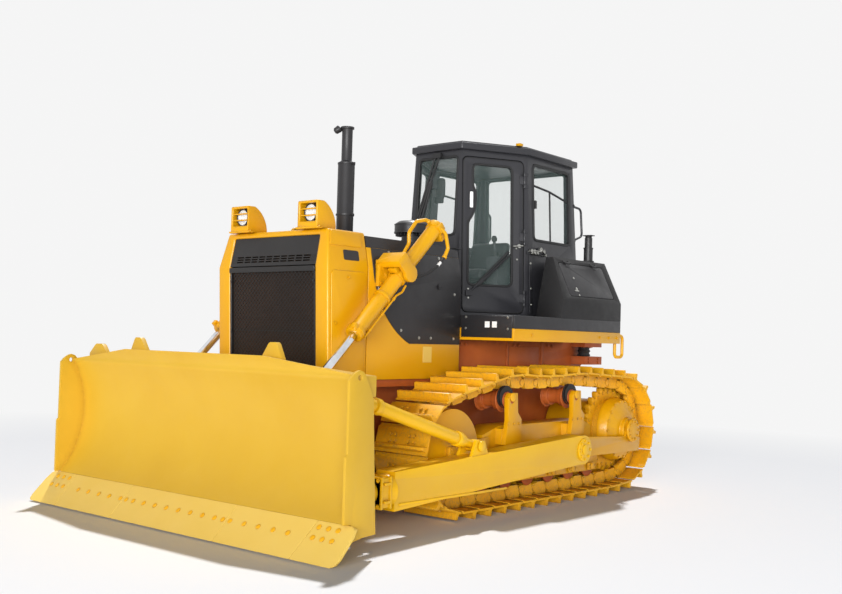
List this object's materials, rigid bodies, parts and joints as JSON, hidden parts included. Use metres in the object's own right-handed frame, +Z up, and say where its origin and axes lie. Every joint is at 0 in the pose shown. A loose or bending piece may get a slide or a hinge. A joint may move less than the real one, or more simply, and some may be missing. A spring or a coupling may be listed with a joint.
{
  "type": "bulldozer",
  "caption": "Crawler bulldozer with a straight blade on outside push arms, two lift cylinders, a braced six-sided cab with doors, and steel tracks.",
  "frame": {"origin": "on the ground under the middle of the machine's box", "axes": "-Y is the way the machine faces, +X its left-hand side, +Z up"},
  "size_m": [3.725, 5.46, 3.44],
  "materials": {
    "yellow_paint": "gloss machine enamel",
    "black_paint": "satin black enamel",
    "dark_steel": "bare dark steel",
    "chrome_rod": "polished hard chrome",
    "glass": "clear tinted glass",
    "lamp_lens": "clear lens",
    "seat_vinyl": "black vinyl",
    "console_plastic": "grained dark plastic"
  },
  "bodies": {
    "root": {"main_frame": "yellow_paint", "drawbar": "yellow_paint", "bay_panels": "black_paint", "engine_block": "dark_steel", "radiator_guard": "yellow_paint", "radiator_grille": "black_paint", "hood_top": "black_paint", "hood_sides": "yellow_paint", "exhaust_stack": "black_paint", "precleaner": "black_paint", "head_lamps": "yellow_paint", "lamp_lenses": "lamp_lens", "lift_yokes": "yellow_paint", "platform": "black_paint", "fender_strips": "yellow_paint", "cab_shell": "black_paint", "cab_roof": "black_paint", "cab_glass": "glass", "operator_seat": "seat_vinyl", "console": "console_plastic", "side_box_left": "black_paint", "side_box_right": "black_paint", "fuel_tank": "black_paint", "grab_bars": "yellow_paint", "track_frame_left": "yellow_paint", "track_frame_right": "yellow_paint", "track_left": "yellow_paint", "track_right": "yellow_paint", "idlers": "yellow_paint", "sprockets": "yellow_paint", "final_drives": "yellow_paint", "carrier_rollers": "yellow_paint", "track_rollers": "yellow_paint"},
    "blade": {"moldboard": "yellow_paint", "cutting_edge": "yellow_paint", "push_arm_left": "yellow_paint", "push_arm_right": "yellow_paint", "brace_strut": "yellow_paint", "tilt_cylinder": "yellow_paint"},
    "lift_barrel_left": {"lift_barrel_left": "yellow_paint"},
    "lift_barrel_right": {"lift_barrel_right": "yellow_paint"},
    "lift_rod_left": {"lift_rod_left": "chrome_rod"},
    "lift_rod_right": {"lift_rod_right": "chrome_rod"},
    "door_left": {"door_left": "black_paint", "door_pane_left": "glass"},
    "door_right": {"door_right": "black_paint", "door_pane_right": "glass"},
    "box_lid_left": {"box_lid_left": "black_paint"},
    "box_lid_right": {"box_lid_right": "black_paint"}
  },
  "joints": [
    {"name": "blade_lift", "type": "hinge", "parent": "root", "child": "blade", "pos_m": [0, 0.87, 0.512], "axis": [-1, 0, 0], "range_deg": [-8.7, 19.2]},
    {"name": "lift_barrel_left_swing", "type": "hinge", "parent": "root", "child": "lift_barrel_left", "pos_m": [0.82, -0.985, 2.03], "axis": [-1, 0, 0], "range_deg": [-12.85, 27.76]},
    {"name": "lift_rod_left_slide", "type": "slide", "parent": "lift_barrel_left", "child": "lift_rod_left", "axis": [0, -0.7217, -0.6923], "range_m": [-0.7686, 0.351]},
    {"name": "lift_barrel_right_swing", "type": "hinge", "parent": "root", "child": "lift_barrel_right", "pos_m": [-0.82, -0.985, 2.03], "axis": [-1, 0, 0], "range_deg": [-12.85, 27.76]},
    {"name": "lift_rod_right_slide", "type": "slide", "parent": "lift_barrel_right", "child": "lift_rod_right", "axis": [0, -0.7217, -0.6923], "range_m": [-0.7686, 0.351]},
    {"name": "door_left_hinge", "type": "hinge", "parent": "root", "child": "door_left", "pos_m": [0.6561, 1.0416, 2.5249], "axis": [-0.0379, 0.0201, 0.9991], "range_deg": [0, 75]},
    {"name": "door_right_hinge", "type": "hinge", "parent": "root", "child": "door_right", "pos_m": [-0.6561, 1.0416, 2.5249], "axis": [-0.0379, -0.0201, -0.9991], "range_deg": [0, 75]},
    {"name": "box_lid_left_hinge", "type": "hinge", "parent": "root", "child": "box_lid_left", "pos_m": [1.115, 1.37, 2.2628], "axis": [0, -1, 0], "range_deg": [0, 70]},
    {"name": "box_lid_right_hinge", "type": "hinge", "parent": "root", "child": "box_lid_right", "pos_m": [-1.115, 1.37, 2.2628], "axis": [0, 1, 0], "range_deg": [0, 70]}
  ],
  "couplings": [
    {"joint": "lift_barrel_left_swing", "follows": "blade_lift", "ratio": 1.42},
    {"joint": "lift_rod_left_slide", "follows": "blade_lift", "m_per_rad": -2.2788},
    {"joint": "lift_barrel_right_swing", "follows": "blade_lift", "ratio": 1.42},
    {"joint": "lift_rod_right_slide", "follows": "blade_lift", "m_per_rad": -2.2788}
  ]
}
